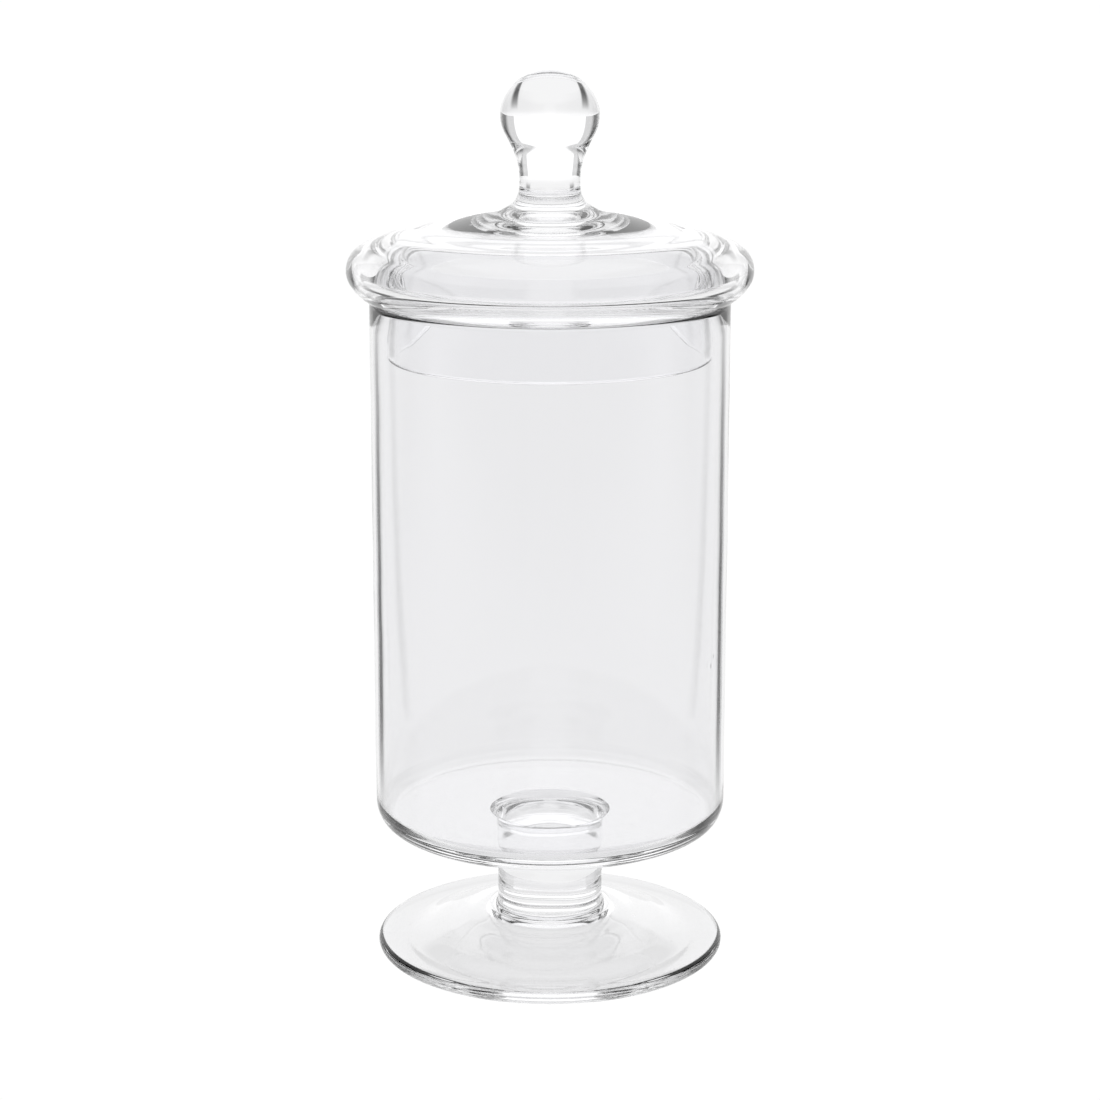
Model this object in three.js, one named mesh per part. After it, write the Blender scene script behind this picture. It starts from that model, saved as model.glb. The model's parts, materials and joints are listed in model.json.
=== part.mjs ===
// A footed glass jar with a domed lid.
//
// Millimetres, +Z up. The origin is on the table, under the middle of the foot. Every piece is
// turned about the Z axis, as hot glass is on the iron. The jar is a foot, a stem and a bowl fused
// together; the lid is a dome, a collar that drops into the bowl, and a solid ball knob.

import * as THREE from 'three';

// ---------------------------------------------------------------------------------------------
// Driving dimensions
// ---------------------------------------------------------------------------------------------

const JOIN_GAP = 0.3;              // left between two pieces that touch

// Foot
const FOOT_DIAMETER = 139.5;
const FOOT_EDGE = 4.6;             // thickness at the rounded edge
const FOOT_RISE = 16.2;            // height of the crown that carries the stem
const FOOT_FULLNESS = 3.2;         // how much the slope swells above its edge, half way in
const FOOT_RING_WIDTH = 9.5;       // flat ring that rests on the table
const FOOT_HOLLOW = 9.6;           // rise of the hollow under the middle
const HOLLOW_REACH = 0.55;         // where the hollow starts to fall, as a part of its radius

// Stem
const STEM_LENGTH = 37;            // from the crown of the foot to the underside of the bowl
const STEM_WAIST_DIAMETER = 42;
const STEM_BASE_DIAMETER = 48.8;
const STEM_TOP_DIAMETER = 45;
const STEM_BASE_FLARE = 2.6;       // height over which the foot of the stem spreads
const STEM_TOP_FLARE = 12;         // height over which its head spreads

// Bowl
const BOWL_DIAMETER = 140;
const BOWL_HEIGHT = 211;           // underside of the floor to the rim
const BOWL_WALL = 3;
const BOWL_FLOOR = 5.4;
const BOWL_CORNER = 8.5;           // outer radius between the wall and the underside
const BOWL_INNER_CORNER = 5;       // inner radius between the wall and the floor
const RIM_BEVEL = 0.6;             // on both edges of the ground rim

// Lid
const LID_OVERHANG = 8.8;          // rim of the lid beyond the bowl's wall
const LID_RISE = 35;               // seat to the foot of the knob
const LID_RIM_RADIUS = 9.6;        // roundness of the thick rim
const LID_RIM_HEIGHT = 11.7;       // widest point of the rim above the seat
const RIM_TURN_IN = -30;           // degrees: where that roundness leaves for the seat
const RIM_TURN_OVER = 60;          // degrees: where it leaves for the dome
const SHOULDER_REACH = 7.2;        // fullness of the dome next to the rim
const CROWN_REACH = 26;            // fullness of the dome next to the knob
const CROWN_SLOPE = 0.22;          // fall of the dome next to the knob
const LID_WALL = 3.8;              // glass in the dome
const LID_CROWN = 1.5;             // extra glass under the knob
const LID_FLANGE = 8.4;            // glass between the cavity and the seat
const FLANGE_BEVEL = 1.8;          // where the flange turns down into the collar
const CAVITY_BULGE = 8.6;          // how far the cavity widens beyond the collar's bore
const CAVITY_ROUNDING = 2.6;       // lower corner of the cavity
const CEILING_REACH = 0.62;        // part of the cavity's radius where its ceiling stays nearly level

// Collar
const COLLAR_CLEARANCE = 3.8;      // to the bore of the bowl
const COLLAR_WALL = 3;
const COLLAR_DEPTH = 22.3;         // below the seat

// Knob
const KNOB_DIAMETER = 38;
const KNOB_BALL_HEIGHT = 34;       // the ball is slightly flattened
const KNOB_HEIGHT = 52.6;          // from the dome to the top of the ball
const KNOB_NECK_DIAMETER = 23.4;
const KNOB_NECK_HEIGHT = 10.4;     // narrowest point above the dome
const KNOB_BASE_DIAMETER = 38.8;
const KNOB_MEET_DEGREES = 25;      // how far below its middle the ball runs into the neck
const NECK_FLARE = 6;              // fullness of the curve from the neck down to the dome
const NECK_SWELL = 7.5;            // fullness of the curve from the neck up to the ball

// ---------------------------------------------------------------------------------------------
// Sizes that follow from them
// ---------------------------------------------------------------------------------------------

const footRadius = FOOT_DIAMETER / 2;
const stemBaseRadius = STEM_BASE_DIAMETER / 2;
const stemWaistRadius = STEM_WAIST_DIAMETER / 2;
const stemTopRadius = STEM_TOP_DIAMETER / 2;
const bowlRadius = BOWL_DIAMETER / 2;
const boreRadius = bowlRadius - BOWL_WALL;
const collarRadius = boreRadius - COLLAR_CLEARANCE;
const collarBore = collarRadius - COLLAR_WALL;
const cavityRadius = collarBore + CAVITY_BULGE;
const lidRadius = bowlRadius + LID_OVERHANG;
const knobRadius = KNOB_DIAMETER / 2;
const neckRadius = KNOB_NECK_DIAMETER / 2;
const knobBaseRadius = KNOB_BASE_DIAMETER / 2;

const stemBottom = FOOT_RISE + JOIN_GAP;
const bowlBottom = FOOT_RISE + STEM_LENGTH;
const stemTop = bowlBottom - JOIN_GAP;
const floorTop = bowlBottom + BOWL_FLOOR;
const rimTop = bowlBottom + BOWL_HEIGHT;
const seat = rimTop + JOIN_GAP;
const domeTop = seat + LID_RISE;
const knobBottom = domeTop + JOIN_GAP;

// ---------------------------------------------------------------------------------------------
// Turning
// ---------------------------------------------------------------------------------------------

const FACETS = 40;                 // flats round a piece
const CURVE_STEPS = 6;             // flats along each curve of an outline

// An outline is drawn as radius against height, anticlockwise, and spun about the Z axis.
function turned(outline) {
  const geometry = new THREE.LatheGeometry(outline.getPoints(CURVE_STEPS), FACETS);
  return geometry.rotateX(Math.PI / 2);
}

function outlineFrom(radius, height) {
  const outline = new THREE.Path();
  outline.moveTo(radius, height);
  return outline;
}

// A quarter or part turn about a centre, by start and end angle in degrees.
function bend(outline, radius, height, bendRadius, fromDegrees, toDegrees) {
  const from = THREE.MathUtils.degToRad(fromDegrees);
  const to = THREE.MathUtils.degToRad(toDegrees);
  outline.absarc(radius, height, bendRadius, from, to, toDegrees < fromDegrees);
}

// ---------------------------------------------------------------------------------------------
// The jar
// ---------------------------------------------------------------------------------------------

function foot() {
  const edge = FOOT_EDGE / 2;
  const edgeCentre = footRadius - edge;
  const ringInner = edgeCentre - FOOT_RING_WIDTH;
  const slopeMiddle = (edgeCentre + stemBaseRadius) / 2;
  const outline = outlineFrom(0, FOOT_HOLLOW);
  outline.quadraticCurveTo(ringInner * HOLLOW_REACH, FOOT_HOLLOW, ringInner, 0);
  bend(outline, edgeCentre, edge, edge, -90, 90);
  outline.quadraticCurveTo(slopeMiddle, FOOT_EDGE + FOOT_FULLNESS, stemBaseRadius, FOOT_RISE);
  outline.lineTo(0, FOOT_RISE);
  return outline;
}

function stem() {
  const waistLow = stemBottom + STEM_BASE_FLARE;
  const waistHigh = stemTop - STEM_TOP_FLARE;
  const outline = outlineFrom(0, stemBottom);
  outline.lineTo(stemBaseRadius, stemBottom);
  outline.quadraticCurveTo(stemWaistRadius, stemBottom, stemWaistRadius, waistLow);
  outline.lineTo(stemWaistRadius, waistHigh);
  outline.quadraticCurveTo(stemWaistRadius, stemTop, stemTopRadius, stemTop);
  outline.lineTo(0, stemTop);
  return outline;
}

function bowl() {
  const outline = outlineFrom(0, bowlBottom);
  outline.lineTo(bowlRadius - BOWL_CORNER, bowlBottom);
  bend(outline, bowlRadius - BOWL_CORNER, bowlBottom + BOWL_CORNER, BOWL_CORNER, -90, 0);
  outline.lineTo(bowlRadius, rimTop - RIM_BEVEL);
  outline.lineTo(bowlRadius - RIM_BEVEL, rimTop);
  outline.lineTo(boreRadius + RIM_BEVEL, rimTop);
  outline.lineTo(boreRadius, rimTop - RIM_BEVEL);
  bend(outline, boreRadius - BOWL_INNER_CORNER, floorTop + BOWL_INNER_CORNER, BOWL_INNER_CORNER, 0, -90);
  outline.lineTo(0, floorTop);
  return outline;
}

// ---------------------------------------------------------------------------------------------
// The lid
// ---------------------------------------------------------------------------------------------

function lidDome() {
  const rimCentre = lidRadius - LID_RIM_RADIUS;
  const rimHeight = seat + LID_RIM_HEIGHT;
  const flangeTop = seat + LID_FLANGE;
  const shoulder = rimHeight + LID_RIM_RADIUS;
  const ceiling = domeTop - LID_WALL - LID_CROWN;
  const over = THREE.MathUtils.degToRad(RIM_TURN_OVER);
  const overRadius = rimCentre + LID_RIM_RADIUS * Math.cos(over);
  const overHeight = rimHeight + LID_RIM_RADIUS * Math.sin(over);
  const outline = outlineFrom(0, ceiling);
  outline.bezierCurveTo(
    cavityRadius * CEILING_REACH, ceiling,
    cavityRadius, shoulder - LID_WALL,
    cavityRadius, flangeTop + CAVITY_ROUNDING,
  );
  outline.quadraticCurveTo(cavityRadius, flangeTop, cavityRadius - CAVITY_ROUNDING, flangeTop);
  outline.lineTo(collarBore + FLANGE_BEVEL, flangeTop);
  outline.lineTo(collarBore, flangeTop - FLANGE_BEVEL);
  outline.lineTo(collarBore, seat);
  outline.lineTo(bowlRadius, seat);
  bend(outline, rimCentre, rimHeight, LID_RIM_RADIUS, RIM_TURN_IN, RIM_TURN_OVER);
  outline.bezierCurveTo(
    overRadius - SHOULDER_REACH * Math.sin(over), overHeight + SHOULDER_REACH * Math.cos(over),
    knobBaseRadius + CROWN_REACH, domeTop - CROWN_REACH * CROWN_SLOPE,
    knobBaseRadius, domeTop,
  );
  outline.lineTo(0, domeTop);
  return outline;
}

function lidCollar() {
  const top = seat - JOIN_GAP;
  const bottom = seat - COLLAR_DEPTH;
  const outline = outlineFrom(collarBore, bottom);
  outline.lineTo(collarRadius, bottom);
  outline.lineTo(collarRadius, top);
  outline.lineTo(collarBore, top);
  outline.closePath();
  return outline;
}

function knob() {
  const top = knobBottom + KNOB_HEIGHT;
  const halfBall = KNOB_BALL_HEIGHT / 2;
  const ballCentre = top - halfBall;
  const neck = knobBottom + KNOB_NECK_HEIGHT;
  const meet = THREE.MathUtils.degToRad(KNOB_MEET_DEGREES);
  const meetRadius = knobRadius * Math.cos(meet);
  const meetHeight = ballCentre - halfBall * Math.sin(meet);
  const outline = outlineFrom(0, knobBottom);
  outline.lineTo(knobBaseRadius, knobBottom);
  outline.bezierCurveTo(
    knobBaseRadius - NECK_FLARE, knobBottom + NECK_FLARE * CROWN_SLOPE,
    neckRadius, neck - NECK_FLARE,
    neckRadius, neck,
  );
  outline.bezierCurveTo(
    neckRadius, neck + NECK_SWELL,
    meetRadius - NECK_SWELL * Math.sin(meet), meetHeight - NECK_SWELL * Math.cos(meet),
    meetRadius, meetHeight,
  );
  outline.absellipse(0, ballCentre, knobRadius, halfBall, -meet, Math.PI / 2, false, 0);
  return outline;
}

// ---------------------------------------------------------------------------------------------
// Assembly
// ---------------------------------------------------------------------------------------------

function piece(name, outline) {
  const glass = new THREE.MeshStandardMaterial({ color: 0xeef2f3, roughness: 0.03, metalness: 0 });
  const mesh = new THREE.Mesh(turned(outline), glass);
  mesh.name = name;
  return mesh;
}

const jar = new THREE.Group();
jar.add(piece('foot', foot()), piece('stem', stem()), piece('bowl', bowl()));

const lid = new THREE.Group();
lid.add(piece('lid_dome', lidDome()), piece('lid_collar', lidCollar()), piece('knob', knob()));

const footedJar = new THREE.Group();
footedJar.add(jar, lid);

export default footedJar;
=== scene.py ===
# %% [markdown]
# # A footed glass jar with a loose domed lid
#
# The real object is two loose pieces of clear, hand-worked glass. The jar is a disc foot, a short
# solid stem and a straight bowl, joined while they were hot. The lid is a blown dome with a thick
# rounded rim, a collar that drops into the bowl, and a solid ball for a knob.
#
# Glass is a hard subject, because everything is seen through everything else. The lesson follows
# the order in which a glass shop and then a studio would work: sizes first, then the outlines that
# are turned, then the glass itself, and last the light, which decides most of what glass looks like.

# %% Load the mechanical model
import json
import math

import bpy
import numpy as np
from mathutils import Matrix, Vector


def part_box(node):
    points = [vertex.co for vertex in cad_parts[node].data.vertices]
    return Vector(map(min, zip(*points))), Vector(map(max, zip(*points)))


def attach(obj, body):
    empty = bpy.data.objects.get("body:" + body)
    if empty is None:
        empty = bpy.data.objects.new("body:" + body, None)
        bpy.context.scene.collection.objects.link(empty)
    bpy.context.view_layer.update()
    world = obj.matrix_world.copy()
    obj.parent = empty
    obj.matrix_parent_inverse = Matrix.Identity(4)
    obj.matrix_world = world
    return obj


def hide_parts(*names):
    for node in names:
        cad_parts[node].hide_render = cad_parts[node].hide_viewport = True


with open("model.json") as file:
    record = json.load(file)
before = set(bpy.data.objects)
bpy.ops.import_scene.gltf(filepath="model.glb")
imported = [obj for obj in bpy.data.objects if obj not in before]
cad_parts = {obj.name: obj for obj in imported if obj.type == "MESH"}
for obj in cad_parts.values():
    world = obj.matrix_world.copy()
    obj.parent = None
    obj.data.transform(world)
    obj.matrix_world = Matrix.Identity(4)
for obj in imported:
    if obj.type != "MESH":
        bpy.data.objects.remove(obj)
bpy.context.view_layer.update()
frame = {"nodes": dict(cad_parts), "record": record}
MM = 0.001
print("nodes:", ", ".join(sorted(frame["nodes"])))

# %% [markdown]
# ## Sizes
#
# The mechanical model already fixes where each gather of glass begins and ends, so nothing is
# placed by eye. The outline of a turned piece needs two kinds of number: how far it reaches from the
# axis, and how high it stands. Both are read from the box of each node. Only what a box can't tell,
# such as the thickness of a wall or the roundness of a rim, is given as a number of its own.

# %% Reach and height of each node
def reach(node):
    """Largest radius of a turned node: how far its box goes along X."""
    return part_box(node)[1].x


def heights(node):
    """Lowest and highest point of a node."""
    low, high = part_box(node)
    return low.z, high.z


foot_radius = reach("foot")
stem_base_radius = reach("stem")
bowl_radius = reach("bowl")
collar_radius = reach("lid_collar")
lid_radius = reach("lid_dome")
knob_base_radius = reach("knob")
foot_crown = heights("foot")[1]
bowl_bottom, rim_top = heights("bowl")
collar_bottom = heights("lid_collar")[0]
seat, dome_top = heights("lid_dome")
knob_top = heights("knob")[1]
mounts = {mount["name"]: mount for mount in frame["record"]["mounts"]}
floor_top = mounts["bowl_floor"]["pos_m"][2]
print(f"bowl {2 * bowl_radius / MM:.1f} mm across, its rim {rim_top / MM:.1f} mm up")
print(f"top of the knob {knob_top / MM:.1f} mm up")

# %% [markdown]
# ## Camera
#
# The camera comes early, because every later choice is judged through it. A long lens from about a
# metre away keeps the walls of the jar nearly parallel. The camera looks down by 14 degrees, enough
# to see the rim of the foot, the floor of the bowl and the ring of the collar as open ellipses.

# %% Camera
CAMERA_DISTANCE = 1.108
CAMERA_HEIGHT = 0.4396
CAMERA_PITCH = 13.96
LENS_LENGTH = 94.4
SENSOR_WIDTH = 36

camera_data = bpy.data.cameras.new("camera")
camera_data.lens = LENS_LENGTH
camera_data.sensor_width = SENSOR_WIDTH
camera = bpy.data.objects.new("camera", camera_data)
camera.location = (0, -CAMERA_DISTANCE, CAMERA_HEIGHT)
camera.rotation_euler = (math.radians(90 - CAMERA_PITCH), 0, 0)
bpy.context.scene.collection.objects.link(camera)
bpy.context.scene.camera = camera
print(f"camera {CAMERA_DISTANCE:.2f} m in front, looking down {CAMERA_PITCH} degrees")

# %% [markdown]
# ## Drawing an outline
#
# Each piece of glass is drawn as half a cross-section: points of radius and height, starting on the
# axis, going once round the whole skin of the glass and ending on the axis again. Four kinds of
# stretch are enough. Straight lines make the walls, quarter rounds make edges, bows make the necks,
# and a curve through given points makes a skin that was shaped freely by hand.

# %% Stretches of an outline
def straight(start, end, steps=2):
    """Points evenly along the line: (1 - t) * start + t * end."""
    t = np.linspace(0, 1, steps)[:, None]
    return (1 - t) * np.array(start, float) + t * np.array(end, float)


def rounding(centre, wide, high, start, end, steps=16):
    """Part of an ellipse: centre + (wide * cos a, high * sin a), with a running in degrees."""
    angle = np.radians(np.linspace(start, end, steps))
    return np.column_stack([centre[0] + wide * np.cos(angle), centre[1] + high * np.sin(angle)])


def bow(start, pull, pulled, end, steps=28):
    """Cubic Bezier: the four points weighted by (1-t)^3, 3t(1-t)^2, 3t^2(1-t) and t^3."""
    t = np.linspace(0, 1, steps)
    weights = np.stack([(1 - t) ** 3, 3 * t * (1 - t) ** 2, 3 * t**2 * (1 - t), t**3], axis=1)
    return weights @ np.array([start, pull, pulled, end], float)


# %% A free curve through points
def through(points, leave, arrive, steps=12):
    """Cubic Hermite pieces through the points, leaving and arriving in the given directions.

    At a point in between, the direction is the mean of the slopes on its two sides, each weighted
    by the length of the other side, so a short step next to a long one doesn't bulge."""
    knots = np.array(points, float)
    gaps = np.hypot(*np.diff(knots, axis=0).T)[:, None]
    slopes = np.diff(knots, axis=0) / gaps
    inner = (slopes[1:] * gaps[:-1] + slopes[:-1] * gaps[1:]) / (gaps[1:] + gaps[:-1])
    tangents = np.vstack([leave, inner, arrive])
    t = np.linspace(0, 1, steps)[:, None, None]
    curve = ((2 * t**3 - 3 * t**2 + 1) * knots[:-1] + (t**3 - 2 * t**2 + t) * gaps * tangents[:-1]
             + (3 * t**2 - 2 * t**3) * knots[1:] + (t**3 - t**2) * gaps * tangents[1:])
    return curve.transpose(1, 0, 2).reshape(-1, 2)


def joined(*stretches):
    """Stretches end to end as one outline, with repeated points left out."""
    points = np.vstack(stretches)
    step = np.hypot(*np.diff(points, axis=0).T)
    return points[np.r_[True, step > 0.001 * MM]]

# %% [markdown]
# ## Turning the outline
#
# On the real jar, every piece was turned on an iron rod, so one function makes them all. Because hot
# glass is never perfectly true, the radius also swells and shrinks by a few hundredths of a
# millimetre on the way round. That is far too little to see in the shape, but light passing through
# glass exaggerates it, and it is what keeps the reflections from looking machined.
#
# A lathe modifier could do the same job, but the mesh worked out here is closed at both poles, has
# its faces pointing out, and lets the unevenness be part of the formula.

# %% Turning helper
AROUND = 240
SWAY = 0.03 * MM
SWAY_WAVES = (2, 3, 5)
SWAY_TWIST = 40
SWAY_FADE_RADIUS = 10 * MM


def turned(name, outline):
    """Surface of revolution: outline point (r, z) goes to (R cos a, R sin a, z) at every angle a.

    R is r plus SWAY times the sum of sin(k a + SWAY_TWIST k z) over the wave numbers k, fading out
    towards the axis. The first and last points lie on the axis, where a fan closes them."""
    angle = np.arange(AROUND) * (2 * math.pi / AROUND)
    radius, height = outline[1:-1, 0, None], outline[1:-1, 1, None]
    waves = sum(np.sin(k * angle + SWAY_TWIST * k * height) for k in SWAY_WAVES)
    swollen = radius + SWAY * waves * np.minimum(1, radius / SWAY_FADE_RADIUS)
    rings = np.stack([swollen * np.cos(angle), swollen * np.sin(angle), height + 0 * angle], axis=-1)
    poles = [[0, 0, outline[0, 1]], [0, 0, outline[-1, 1]]]
    vertices = np.vstack([rings.reshape(-1, 3), poles])

    here = np.arange(AROUND)
    after = (here + 1) % AROUND
    row = (np.arange(len(rings) - 1) * AROUND)[:, None]
    quads = np.stack([row + here, row + after, row + AROUND + after, row + AROUND + here], axis=-1)
    quads = quads.reshape(-1, 4)
    last_row = (len(rings) - 1) * AROUND
    first_pole, last_pole = len(vertices) - 2, len(vertices) - 1
    low_fan = np.stack([after, here, np.full(AROUND, first_pole)], axis=-1)
    high_fan = np.stack([last_row + here, last_row + after, np.full(AROUND, last_pole)], axis=-1)

    mesh = bpy.data.meshes.new(name)
    mesh.from_pydata(vertices.tolist(), [], quads.tolist() + low_fan.tolist() + high_fan.tolist())
    mesh.shade_smooth()
    piece = bpy.data.objects.new(name, mesh)
    bpy.context.scene.collection.objects.link(piece)
    triangles = 2 * len(quads) + 2 * AROUND
    print(f"{name}: {len(outline)} outline points, {triangles} triangles")
    return piece


# %% [markdown]
# ## The jar
#
# Foot, stem and bowl are three gathers of glass, but once fused they have one skin. If each were a
# mesh of its own, light would be thrown back by skins that don't exist, and the stem would look like
# a stack of mirrors. So the jar is one closed surface, and it stands in for all three nodes.
#
# The outline is drawn in two halves. The first goes under the foot, over its edge, up the slope and
# up the stem. The second goes round the bowl, over its rim and down the inside to the floor.
#
# The foot is hollow underneath, and the hollow rises with the slope above it. That matters more than
# it seems: skins that run side by side let the table through evenly, while a foot with a flat
# underside is a wedge, which would fill the foot with dark bent shapes.

# %% Outline of the foot and the stem
FOOT_EDGE = 4.8 * MM
FOOT_RING_WIDTH = 9.5 * MM
HOLLOW = ((0, 9.6 * MM), (16 * MM, 9.2 * MM), (30 * MM, 6.9 * MM), (44 * MM, 3.5 * MM))
SLOPE = ((57 * MM, 5.3 * MM), (46 * MM, 9.1 * MM), (35 * MM, 13.2 * MM))
STEM_WAIST = 21 * MM
STEM_HEAD = 22.6 * MM
BASE_FLARE = 2.6 * MM
BASE_SPREAD = 1.2 * MM
BASE_LIFT = 0.1 * MM
HEAD_FLARE = 12 * MM
HEAD_TUCK = 2.4 * MM
HEAD_SPREAD = 1.6 * MM
BEAD_WIDE = 0.3 * MM
BEAD_DEEP = 0.2 * MM
OFF_EDGE = (-1, 0.08)
UP_TO_BEAD = (-0.7, 0.4)
INWARD = (-1, 0)
OUTWARD = (1, 0)


def foot_and_stem():
    """Hollow and ring under the foot, its edge, its slope, and the stem up to the bowl."""
    edge = FOOT_EDGE / 2
    edge_centre = foot_radius - edge
    ring_inner = edge_centre - FOOT_RING_WIDTH
    bead = (stem_base_radius + BEAD_WIDE, foot_crown - BEAD_DEEP)
    waist_low = foot_crown + BASE_FLARE
    waist_high = bowl_bottom - HEAD_FLARE
    return joined(
        through([*HOLLOW, (ring_inner, 0)], OUTWARD, OUTWARD),
        rounding((edge_centre, edge), edge, edge, -90, 90, 20),
        through([(edge_centre, FOOT_EDGE), *SLOPE, bead], OFF_EDGE, UP_TO_BEAD),
        bow((stem_base_radius, foot_crown), (STEM_WAIST + BASE_SPREAD, foot_crown + BASE_LIFT),
            (STEM_WAIST, foot_crown + BASE_FLARE / 2), (STEM_WAIST, waist_low), 20),
        straight((STEM_WAIST, waist_low), (STEM_WAIST, waist_high), 6),
        bow((STEM_WAIST, waist_high), (STEM_WAIST, bowl_bottom - HEAD_FLARE / 3),
            (STEM_HEAD, bowl_bottom - HEAD_TUCK), (STEM_HEAD + HEAD_SPREAD, bowl_bottom)),
    )


# %% Outline of the bowl
WALL = 3 * MM
CORNER_WIDE = 7.6 * MM
CORNER_HIGH = 9.6 * MM
INNER_CORNER_WIDE = 4.2 * MM
INNER_CORNER_HIGH = 5.4 * MM
FLOOR_SWELL = 0.3 * MM
FLOOR_DIP = 1.5 * MM
STEM_STEP = 0.2 * MM


def bowl():
    """Underside, outer corner, wall, rim, inner wall, inner corner and floor, ending on the axis."""
    lip = WALL / 2
    bore = bowl_radius - WALL
    corner = bowl_radius - CORNER_WIDE
    corner_top = bowl_bottom + CORNER_HIGH
    inner_corner = bore - INNER_CORNER_WIDE
    inner_corner_top = floor_top + INNER_CORNER_HIGH
    return joined(
        through([(STEM_HEAD + HEAD_SPREAD + STEM_STEP, bowl_bottom), (45 * MM, bowl_bottom + FLOOR_SWELL),
                 (corner, bowl_bottom)], OUTWARD, OUTWARD),
        rounding((corner, corner_top), CORNER_WIDE, CORNER_HIGH, -90, 0, 24),
        straight((bowl_radius, corner_top), (bowl_radius, rim_top - lip), 24),
        rounding((bowl_radius - lip, rim_top - lip), lip, lip, 0, 180),
        straight((bore, rim_top - lip), (bore, inner_corner_top), 24),
        rounding((inner_corner, inner_corner_top), INNER_CORNER_WIDE, INNER_CORNER_HIGH, 0, -90, 20),
        through([(inner_corner, floor_top), (40 * MM, floor_top + FLOOR_SWELL), (22 * MM, floor_top),
                 (0, floor_top - FLOOR_DIP)], INWARD, INWARD),
    )


# %% Turn the jar
jar = turned("footed_jar", joined(foot_and_stem(), bowl()))
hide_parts("foot", "stem", "bowl")
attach(jar, "jar")

# %% [markdown]
# ## The lid
#
# The lid is also one skin. Its outline starts under the knob, on the ceiling of the dome. The
# ceiling follows the outside at the thickness of the wall, and comes down to a rounded hollow inside
# the rim. From there it turns over the flange into the collar, round the collar's fire-polished
# end, out along the seat that meets the bowl, and round the thick rim to the dome and the knob.
#
# The outside of the dome is drawn first, because the ceiling is measured from it.

# %% Outline of the dome's outside
RIM_ROUND = 9.6 * MM
RIM_HEIGHT = 11.7 * MM
TURN_IN = -30
TURN_OVER = 60
SHOULDER_REACH = 7.2 * MM
CROWN_REACH = 26 * MM
CROWN_SLOPE = 0.22
rim_centre = (lid_radius - RIM_ROUND, seat + RIM_HEIGHT)


def on_rim(degrees):
    """Point on the round of the rim, and the direction of travel there, at this angle."""
    angle = math.radians(degrees)
    along, up = math.cos(angle), math.sin(angle)
    point = np.array([rim_centre[0] + RIM_ROUND * along, rim_centre[1] + RIM_ROUND * up])
    return point, np.array([-up, along])


over, over_way = on_rim(TURN_OVER)
crown = (knob_base_radius, dome_top)
dome = bow(over, over + SHOULDER_REACH * over_way,
           (knob_base_radius + CROWN_REACH, dome_top - CROWN_REACH * CROWN_SLOPE), crown, 48)


# %% Outline of the ceiling, collar and seat
LID_WALL = ((0, 5.4 * MM), (19 * MM, 5.7 * MM), (37 * MM, 3.6 * MM), (51 * MM, 3.5 * MM),
            (61 * MM, 4.3 * MM))
CAVITY_RADIUS = 68.7 * MM
CAVITY_FOOT = 10.8 * MM
FLANGE = 8.4 * MM
CAVITY_ROUNDING = 2.6 * MM
FLANGE_BEVEL = 1.8 * MM
COLLAR_WALL = 3 * MM
SEAT_MARGIN = 0.8 * MM
SEAT_FILLET = 1 * MM
DOWNWARD = (0, -1)


def inside_of_lid():
    """Ceiling, cavity, flange, bore of the collar, its round end, its outside, and the seat."""
    radii = np.array([radius for radius, wall in LID_WALL])
    walls = np.array([wall for radius, wall in LID_WALL])
    tops = np.interp(radii, dome[::-1, 0], dome[::-1, 1])
    ceiling = list(zip(radii, tops - walls))
    bore = collar_radius - COLLAR_WALL
    lip = COLLAR_WALL / 2
    cavity_foot = seat + CAVITY_FOOT
    flange_top = seat + FLANGE
    cavity_turn = (CAVITY_RADIUS - CAVITY_ROUNDING, cavity_foot)
    return joined(
        through([*ceiling, (CAVITY_RADIUS, cavity_foot)], OUTWARD, DOWNWARD),
        rounding(cavity_turn, CAVITY_ROUNDING, CAVITY_FOOT - FLANGE, 0, -90),
        rounding((bore + FLANGE_BEVEL, flange_top - FLANGE_BEVEL), FLANGE_BEVEL, FLANGE_BEVEL, 90, 180),
        straight((bore, flange_top - FLANGE_BEVEL), (bore, collar_bottom + lip), 16),
        rounding((bore + lip, collar_bottom + lip), lip, lip, 180, 360, 20),
        straight((collar_radius, collar_bottom + lip), (collar_radius, seat - SEAT_FILLET), 16),
        rounding((collar_radius + SEAT_FILLET, seat - SEAT_FILLET), SEAT_FILLET, SEAT_FILLET, 180, 90, 8),
        straight((collar_radius + SEAT_FILLET, seat), (bowl_radius - SEAT_MARGIN, seat), 4),
    )


# %% Outline of the knob
KNOB_RADIUS = 19 * MM
HALF_BALL = 17 * MM
NECK_RADIUS = 11.7 * MM
NECK_HEIGHT = 10.6 * MM
NECK_FLARE = 6 * MM
NECK_SWELL = 7.5 * MM
MEET = 25


def knob():
    """Hourglass neck, then the slightly flattened ball, ending at its top on the axis."""
    neck = dome_top + NECK_HEIGHT
    centre = knob_top - HALF_BALL
    meet = math.radians(MEET)
    joint = np.array([KNOB_RADIUS * math.cos(meet), centre - HALF_BALL * math.sin(meet)])
    down = np.array([-KNOB_RADIUS * math.sin(meet), -HALF_BALL * math.cos(meet)])
    down /= np.hypot(*down)
    return joined(
        bow(crown, (knob_base_radius - NECK_FLARE, dome_top + NECK_FLARE * CROWN_SLOPE),
            (NECK_RADIUS, neck - NECK_FLARE), (NECK_RADIUS, neck)),
        bow((NECK_RADIUS, neck), (NECK_RADIUS, neck + NECK_SWELL), joint + NECK_SWELL * down, joint),
        rounding((0, centre), KNOB_RADIUS, HALF_BALL, -MEET, 90, 44),
    )


# %% Turn the lid
OUT_OF_SEAT = 2 * MM
INTO_RIM = 3 * MM

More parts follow.
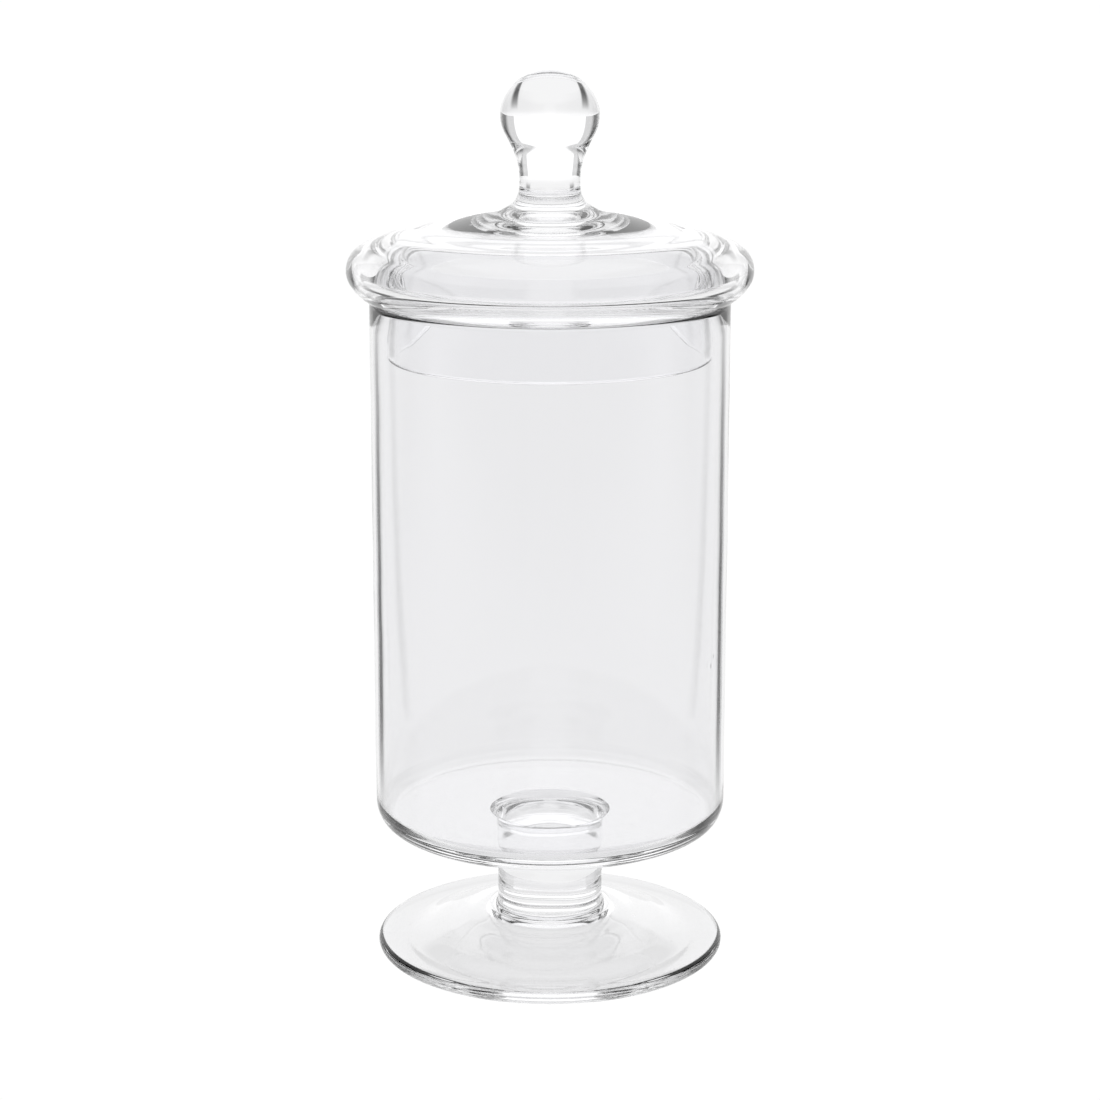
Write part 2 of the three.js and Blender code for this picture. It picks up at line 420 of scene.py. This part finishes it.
turn_in, turn_in_way = on_rim(TURN_IN)
seat_edge = bowl_radius - SEAT_MARGIN
under_rim = bow((seat_edge, seat), (seat_edge + OUT_OF_SEAT, seat),
                turn_in - INTO_RIM * turn_in_way, turn_in, 14)
rim = rounding(rim_centre, RIM_ROUND, RIM_ROUND, TURN_IN, TURN_OVER, 32)
lid = turned("domed_lid", joined(inside_of_lid(), under_rim, rim, dome, knob()))
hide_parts("lid_dome", "lid_collar", "knob")
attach(lid, "lid")

# %% [markdown]
# ## Building materials
#
# A material is a small tree of nodes. The three helpers below keep such a tree readable: one adds a
# node and connects it, one does a sum, and one fades smoothly between two values.

# %% Node helpers
def add_node(tree, kind, inputs=None, **settings):
    """Add a node, set its properties, then fill or connect its inputs by name or number."""
    node = tree.nodes.new(kind)
    for name, value in settings.items():
        setattr(node, name, value)
    for key, value in (inputs or {}).items():
        if isinstance(value, bpy.types.NodeSocket):
            tree.links.new(value, node.inputs[key])
        else:
            node.inputs[key].default_value = value
    return node


def maths(tree, operation, first, second=0.0, third=0.0):
    """One Math node, given numbers or sockets."""
    return add_node(tree, "ShaderNodeMath", {0: first, 1: second, 2: third}, operation=operation).outputs[0]


def fade(tree, value, low, high, at_low, at_high):
    """Smooth step: at_low below low, at_high above high, an S curve in between."""
    limits = {"Value": value, "From Min": low, "From Max": high, "To Min": at_low, "To Max": at_high}
    return add_node(tree, "ShaderNodeMapRange", limits, interpolation_type="SMOOTHSTEP").outputs[0]


# %% [markdown]
# ## Glass
#
# Clear soda-lime glass is a smooth skin that bends light (index of refraction 1.5). What tells real
# glass from perfect glass is small. The blower's tools leave slow waves in the skin. Gas leaves
# seeds: pinhead bubbles, each drawn a little upwards. Traces of metal in the sand grey the glass very
# faintly. And the top of the bowl, where the lid rests, is ground and looks satin.
#
# Waves and seeds are worked in as bumps, not as shapes, because they only matter through the light
# they bend. Both are read from the object's own coordinates, so they stay with the glass when the
# lid is lifted. The grey is the shader's own colour: each skin that light crosses takes a few percent.

# %% Clear glass
INDEX = 1.5
WAVE_LENGTH = 26 * MM
WAVE_TALL = 3.2
WAVE_DEPTH = 0.05 * MM
SEED_GAP = 15 * MM
SEED_SIZE = 0.055
SEED_SHARE = 0.32
SEED_DEPTH = 0.25 * MM
SEED_HEIGHT_SCALE = 0.6
SEED_STRENGTH = 0.7
GROUND_ROUGHNESS = 0.25
GROUND_GRAIN = 0.8 * MM
GROUND_EDGE = 0.3 * MM
SMEAR_LENGTH = 40 * MM
SMEAR_RANGE = (0.5, 0.8)
SMEAR_ROUGHNESS = 0.012


def clear_glass(name, colour, ground_from, ground_to):
    """Clear glass with waves, seeds and a ground band between two heights, in its own coordinates."""
    material = bpy.data.materials.new(name)
    material.use_nodes = True
    tree = material.node_tree
    shader = tree.nodes["Principled BSDF"]
    shader.inputs["Base Color"].default_value = (*colour, 1)
    shader.inputs["IOR"].default_value = INDEX
    shader.inputs["Transmission Weight"].default_value = 1
    place = add_node(tree, "ShaderNodeTexCoord").outputs["Object"]

    stretched = add_node(tree, "ShaderNodeMapping", {"Vector": place, "Scale": (1, 1, 1 / WAVE_TALL)})
    waves = add_node(tree, "ShaderNodeTexNoise", {"Vector": stretched.outputs[0], "Scale": 1 / WAVE_LENGTH,
                                                  "Detail": 1, "Roughness": 0.4})
    wavy = add_node(tree, "ShaderNodeBump", {"Height": waves.outputs[0], "Strength": 1,
                                             "Distance": WAVE_DEPTH})

    seed_scale = (1, 1, SEED_HEIGHT_SCALE)
    drawn = add_node(tree, "ShaderNodeMapping", {"Vector": place, "Scale": seed_scale})
    cells = add_node(tree, "ShaderNodeTexVoronoi", {"Vector": drawn.outputs[0], "Scale": 1 / SEED_GAP})
    chosen = add_node(tree, "ShaderNodeSeparateColor", {0: cells.outputs["Color"]})
    present = maths(tree, "LESS_THAN", chosen.outputs[0], SEED_SHARE)
    size = maths(tree, "MULTIPLY_ADD", chosen.outputs[1], SEED_SIZE, SEED_SIZE / 2)
    dome_shape = fade(tree, maths(tree, "DIVIDE", cells.outputs["Distance"], size), 0.0, 1.0, 1.0, 0.0)
    seeds = maths(tree, "MULTIPLY", dome_shape, present)
    bumped = add_node(tree, "ShaderNodeBump", {"Height": seeds, "Strength": SEED_STRENGTH,
                                               "Distance": SEED_DEPTH, "Normal": wavy.outputs[0]})
    tree.links.new(bumped.outputs[0], shader.inputs["Normal"])

    height = add_node(tree, "ShaderNodeSeparateXYZ", {0: place}).outputs["Z"]
    grind = add_node(tree, "ShaderNodeTexNoise", {"Vector": place, "Scale": 1 / GROUND_GRAIN, "Detail": 2})
    above = fade(tree, height, ground_from - GROUND_EDGE, ground_from, 0.0, 1.0)
    below = fade(tree, height, ground_to, ground_to + GROUND_EDGE, 1.0, 0.0)
    ground = maths(tree, "MULTIPLY", maths(tree, "MULTIPLY", above, below), grind.outputs[0])
    smear = add_node(tree, "ShaderNodeTexNoise", {"Vector": place, "Scale": 1 / SMEAR_LENGTH, "Detail": 3})
    polish = fade(tree, smear.outputs[0], *SMEAR_RANGE, 0.0, SMEAR_ROUGHNESS)
    tree.links.new(maths(tree, "MULTIPLY_ADD", ground, GROUND_ROUGHNESS, polish), shader.inputs["Roughness"])
    print(f"{name}: ground between {ground_from / MM:.1f} and {ground_to / MM:.1f} mm")
    return material


# %% Give both pieces their glass
JAR_COLOUR = (0.951, 0.951, 0.959)
LID_COLOUR = (0.988, 0.988, 0.995)
RIM_GROUND = 0.5 * MM
SEAT_GROUND = 0.1 * MM

jar_glass = clear_glass("jar_glass", JAR_COLOUR, rim_top - RIM_GROUND, rim_top)
lid_glass = clear_glass("lid_glass", LID_COLOUR, seat - SEAT_GROUND, seat + SEAT_GROUND)
jar.data.materials.append(jar_glass)
lid.data.materials.append(lid_glass)

# %% [markdown]
# ## The table
#
# Clear glass has no colour of its own to light. What it shows is the table and the room, bent. So
# the table is a plain, pale sheet of light. It fills the view evenly and keeps the edges of the glass
# crisp, where a real table would only add its own shading.
#
# In a studio the even part of the table is not endless: past its edges the floor is dark, and a
# wall of glass picks those edges up as the thin dark lines that draw a jar. An even table would lose
# them. So just above the even sheet lies a second one, which only the glass sees. It is the same
# pale table with light and shade painted into its glow: a painted dark gap of shade running away on
# each side behind the jar, painted falloff of light beside it and in front, a brighter far end and
# a painted shadow under the foot.
#
# This is a stage trick, and it has a price. What the glass bends isn't what the camera sees beside
# it, and the gaps are laid out for a viewer in front. From other sides they show as grey streaks in
# the glass. With one even sheet for both, the streaks go, and so do the dark lines down the walls.

# %% Two sheets of light
TABLE_HALF = 9.0
PLAIN_BRIGHT = 1.02
GLASS_BRIGHT = 1.04
FLOOR_DROP = 0.3 * MM
LIT_DROP = 0.15 * MM


def sheet(name, height):
    """A large square, level and centred under the jar, that takes no part in the object's size."""
    mesh = bpy.data.meshes.new(name)
    corners = [(-1, -1), (1, -1), (1, 1), (-1, 1)]
    mesh.from_pydata([(x * TABLE_HALF, y * TABLE_HALF, height) for x, y in corners], [], [(0, 1, 2, 3)])
    piece = bpy.data.objects.new(name, mesh)
    bpy.context.scene.collection.objects.link(piece)
    return piece


def light_tree(piece, name):
    """An empty material tree on a piece, ready for a glow."""
    material = bpy.data.materials.new(name)
    material.use_nodes = True
    material.node_tree.nodes.clear()
    piece.data.materials.append(material)
    return material.node_tree


def glow(tree, strength):
    """Finish a tree with plain white light of this strength."""
    light = add_node(tree, "ShaderNodeEmission", {"Strength": strength})
    add_node(tree, "ShaderNodeOutputMaterial", {"Surface": light.outputs[0]})


floor = sheet("floor", -FLOOR_DROP)
glow(light_tree(floor, "plain_paper"), PLAIN_BRIGHT)

# %% [markdown]
# Distances are in metres, where Y runs away behind the jar. Bearings are in degrees, from 0 straight
# behind the jar to 90 beside it, and start at the jar's side wall. A pair of values is where a fade
# begins and ends.

# %% The sheet that the glass sees
# The numbers below set the painted shade of the gaps, the painted falloff of light round them and the
# painted shadow under the foot.
SIDE_START = 67 * MM
GAP_START = (25.5, 29)
GAP_STOP = (34, 42)
GAP_NEAR = (0.06, 0.3)
GAP_PALER = (0.1, 2.2)
GAP_DARKEST = 0.97
MIDDLE_BEARING = (6, 25.5)
MIDDLE_EDGE = 0.93
OUTER_BEARING = (40, 95)
BESIDE = 0.72
BEHIND = (-0.05, 0.25)
IN_FRONT = 0.95
NEARER_AT = (-0.9, -0.2)
NEARER = 0.8
FAR_AT = (1.6, 4.5)
FAR_BRIGHT = 1.16
# Painted shadow: the glow under the foot is dimmed to this level and fades out over this edge.
FOOT_SHADOW_LEVEL = 0.87
FOOT_SHADOW_EDGE = 6 * MM

# lit_table is a glowing sheet with light and shade painted into its glow, seen only by the glass.
lit_table = sheet("lit_table", -LIT_DROP)
lit_table.visible_camera = False
tree = light_tree(lit_table, "paper_with_painted_light")
place = add_node(tree, "ShaderNodeTexCoord").outputs["Object"]
along = add_node(tree, "ShaderNodeSeparateXYZ", {0: place})
back = along.outputs["Y"]
aside = maths(tree, "SUBTRACT", maths(tree, "ABSOLUTE", along.outputs["X"]), SIDE_START)
beside = maths(tree, "MAXIMUM", aside, 0.0)
bearing = maths(tree, "MULTIPLY", maths(tree, "ARCTAN2", beside, back), 180 / math.pi)

# %% Painted shade: a dark gap on each side
# Painted shade: the glass-only sheet goes dark in a wedge on each side behind the jar, standing in for unlit
# floor.
into_gap = fade(tree, bearing, *GAP_START, 0.0, 1.0)
out_of_gap = fade(tree, bearing, *GAP_STOP, 1.0, 0.0)
gap_begins = fade(tree, back, *GAP_NEAR, 0.0, 1.0)
gap = maths(tree, "MULTIPLY", maths(tree, "MULTIPLY", into_gap, out_of_gap), gap_begins)
depth = fade(tree, back, *GAP_PALER, GAP_DARKEST, 0.0)
kept = maths(tree, "SUBTRACT", 1.0, maths(tree, "MULTIPLY", gap, depth))

# %% Painted light and shade on the paper round it
# Painted light and shade: the glow is brighter far behind the jar and fades darker beside it and in front,
# as light falls off across a table.
middle = fade(tree, bearing, *MIDDLE_BEARING, GLASS_BRIGHT, MIDDLE_EDGE)
outer = fade(tree, bearing, *OUTER_BEARING, MIDDLE_EDGE, BESIDE)
behind = fade(tree, back, *BEHIND, 0.0, 1.0)
shade = maths(tree, "SUBTRACT", maths(tree, "MINIMUM", middle, outer), IN_FRONT)
paper = maths(tree, "MULTIPLY_ADD", shade, behind, IN_FRONT)
front = fade(tree, back, *NEARER_AT, NEARER, 1.0)
from_axis = add_node(tree, "ShaderNodeVectorMath", {0: place}, operation="LENGTH").outputs["Value"]
# Painted shadow: the sheet is darker under the foot, as if the glass took some of its light.
under = fade(tree, from_axis, foot_radius - FOOT_SHADOW_EDGE, foot_radius + FOOT_SHADOW_EDGE, FOOT_SHADOW_LEVEL, 1.0)
far = fade(tree, back, *FAR_AT, 1.0, FAR_BRIGHT)
lit = maths(tree, "MULTIPLY", maths(tree, "MULTIPLY", paper, far), maths(tree, "MULTIPLY", front, under))
glow(tree, maths(tree, "MULTIPLY", lit, kept))
print("the glass sees a gap in the table from", GAP_START[0], "to", GAP_STOP[1], "degrees")

# %% [markdown]
# ## The room
#
# Round the table stand the usual things of a product set: a white board behind, with a paler halo
# of light on the wall round it, a soft box overhead, and a small pale wall on the camera's side.
# Between them the studio is nearly dark. The solid ball of the knob gathers the whole set upside
# down, so the edges of board and table are what give the knob its drawing.
#
# Each light is a fade in one of two measures. "Towards" is 1 straight behind the jar, 0 at its sides
# and -1 at the camera's side. "Z" is 0 at the horizon and 1 overhead.

# %% Studio
BOARD_LIGHT = 1.2
BOARD_EDGE = (0.80, 0.84)
BOARD_TOP = (0.46, 0.56)
HALO_LIGHT = 0.72
HALO_EDGE = (0.56, 0.72)
CEILING_LIGHT = 1.0
CEILING_EDGE = (0.52, 0.72)
FRONT_LIGHT = 0.75
FRONT_EDGE = (-0.99, -0.95)
SIDE_LIGHT = 0.1
SIDE_TOP = (0.12, 0.26)
LEAST_LEVEL = 0.001

world = bpy.data.worlds.new("studio")
bpy.context.scene.world = world
world.use_nodes = True
tree = world.node_tree
tree.nodes.clear()
ray = add_node(tree, "ShaderNodeSeparateXYZ", {0: add_node(tree, "ShaderNodeTexCoord").outputs["Generated"]})
x, y, z = ray.outputs
level = maths(tree, "SQRT", maths(tree, "MULTIPLY_ADD", x, x, maths(tree, "MULTIPLY", y, y)))
towards = maths(tree, "DIVIDE", y, maths(tree, "MAXIMUM", level, LEAST_LEVEL))
board_wide = fade(tree, towards, *BOARD_EDGE, 0.0, BOARD_LIGHT)
board = maths(tree, "MULTIPLY", board_wide, fade(tree, z, *BOARD_TOP, 1.0, 0.0))
halo = fade(tree, towards, *HALO_EDGE, 0.0, HALO_LIGHT)
ceiling = fade(tree, z, *CEILING_EDGE, 0.0, CEILING_LIGHT)
front_wall = fade(tree, towards, *FRONT_EDGE, FRONT_LIGHT, 0.0)
low_sides = fade(tree, z, *SIDE_TOP, SIDE_LIGHT, 0.0)
sides = maths(tree, "MAXIMUM", maths(tree, "MAXIMUM", halo, low_sides), front_wall)
sky = maths(tree, "MAXIMUM", maths(tree, "MAXIMUM", sides, ceiling), board)
light = add_node(tree, "ShaderNodeBackground", {"Color": (1, 1, 1, 1), "Strength": sky})
add_node(tree, "ShaderNodeOutputWorld", {"Surface": light.outputs[0]})

# %% [markdown]
# The room only exists to be mirrored and bent. Seen straight on, it would be a grey wall above the
# edge of the table. So a large pale shell closes the view all round. The camera sees it, and the
# glass doesn't. Seen from the side at the jar's own height, the glass therefore shows the dark room
# above a level line, in front of a pale view.

# %% Pale shell round the set
SHELL_RADIUS = 12
SHELL_STEPS = 64


def shell_mesh(name):
    """Upright closed drum: two rings of points at radius SHELL_RADIUS, with a lid and a base."""
    angle = np.arange(SHELL_STEPS) * (2 * math.pi / SHELL_STEPS)
    ring = np.column_stack([np.cos(angle), np.sin(angle)]) * SHELL_RADIUS
    low = np.column_stack([ring, np.full(SHELL_STEPS, -SHELL_RADIUS)])
    high = np.column_stack([ring, np.full(SHELL_STEPS, SHELL_RADIUS)])
    here = np.arange(SHELL_STEPS)
    after = (here + 1) % SHELL_STEPS
    walls = np.column_stack([after, here, here + SHELL_STEPS, after + SHELL_STEPS])
    mesh = bpy.data.meshes.new(name)
    faces = walls.tolist() + [here.tolist(), (here[::-1] + SHELL_STEPS).tolist()]
    mesh.from_pydata(np.vstack([low, high]).tolist(), [], faces)
    return mesh


shell = bpy.data.objects.new("shell", shell_mesh("shell"))
bpy.context.scene.collection.objects.link(shell)
shell.visible_diffuse = False
shell.visible_glossy = False
shell.visible_transmission = False
shell.visible_shadow = False
glow(light_tree(shell, "pale_shell"), PLAIN_BRIGHT)

# %% [markdown]
# ## Picture settings
#
# Light has to cross a dozen skins to come out of a lidded jar, so the limit on bounces is raised. The
# plain "Standard" view keeps the white of the table white.

# %% View and bounces
CROSSINGS = 24
MIRRORINGS = 12

scene = bpy.context.scene
scene.view_settings.view_transform = "Standard"
scene.cycles.max_bounces = CROSSINGS
scene.cycles.transmission_bounces = CROSSINGS
scene.cycles.glossy_bounces = MIRRORINGS
